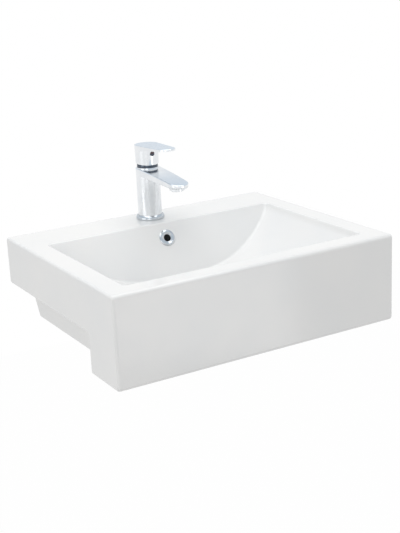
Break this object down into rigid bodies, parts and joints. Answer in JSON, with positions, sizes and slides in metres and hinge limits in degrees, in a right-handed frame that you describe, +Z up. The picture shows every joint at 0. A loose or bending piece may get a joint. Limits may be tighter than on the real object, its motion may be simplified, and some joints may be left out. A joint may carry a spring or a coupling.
{
  "type": "semi-recessed washbasin with mixer tap",
  "caption": "Semi-recessed white china washbasin with a deep front apron, a ramp-sided bowl, an overflow, a single-lever chrome mixer tap and a push-open waste.",
  "frame": {"origin": "on the wall face, midway between the two wall bolt holes", "axes": "+X along the wall to the right as the user faces it, +Y into the wall, +Z up"},
  "size_m": [0.555, 0.44, 0.3466],
  "materials": {
    "china": "white glazed vitreous china",
    "chrome": "polished chrome plating",
    "brass": "machined brass",
    "steel": "zinc-plated or stainless steel",
    "rubber": "black rubber",
    "grey_plastic": "moulded acetal",
    "white_plastic": "moulded plastic",
    "index": "dark plug with hot and cold marks",
    "disc": "lapped alumina"
  },
  "bodies": {
    "basin": {"basin_body": "china", "overflow_ring": "chrome", "waste_body": "chrome", "tap_body": "chrome", "tap_base_ring": "chrome", "aerator_housing": "chrome", "dress_dome": "chrome", "back_nut": "brass", "cartridge_nut": "brass", "stud_nut": "brass", "click_spring": "steel", "fixing_stud": "steel", "horseshoe_plate": "steel", "flange_seal": "rubber", "lower_seal": "rubber", "tap_base_seal": "rubber", "aerator_washer": "rubber", "port_seals": "rubber", "horseshoe_gasket": "rubber", "click_barrel": "grey_plastic", "cartridge_base": "grey_plastic", "cartridge_housing": "grey_plastic", "slip_washer": "white_plastic", "aerator_insert": "white_plastic", "fixed_disc": "disc"},
    "mixer_rotor": {"cartridge_rotor": "grey_plastic", "lever_pin": "steel"},
    "mixer_lever": {"lever_spindle": "steel", "handle": "chrome", "handle_screw": "steel", "index_plug": "index"},
    "mixer_disc": {"moving_disc": "disc", "disc_carrier": "grey_plastic"},
    "plug": {"plug_stem": "steel", "plug_cap": "chrome", "plug_seal": "rubber"}
  },
  "joints": [
    {"name": "handle_swivel", "type": "hinge", "parent": "basin", "child": "mixer_rotor", "pos_m": [0, -0.052, 0.149], "axis": [0, 0, 1], "range_deg": [-45, 45]},
    {"name": "handle_lift", "type": "hinge", "parent": "mixer_rotor", "child": "mixer_lever", "pos_m": [0, -0.052, 0.149], "axis": [-1, 0, 0], "range_deg": [0, 22]},
    {"name": "disc_slide", "type": "slide", "parent": "mixer_rotor", "child": "mixer_disc", "axis": [0, -1, 0], "range_m": [0, 0.00413]},
    {"name": "plug_press", "type": "slide", "parent": "basin", "child": "plug", "axis": [0, 0, -1], "range_m": [0, 0.008], "stiffness_N_per_m": 400, "springref_m": -0.005, "deforming": ["click_spring"]}
  ],
  "couplings": [
    {"joint": "disc_slide", "follows": "handle_lift", "m_per_rad": 0.010732}
  ]
}
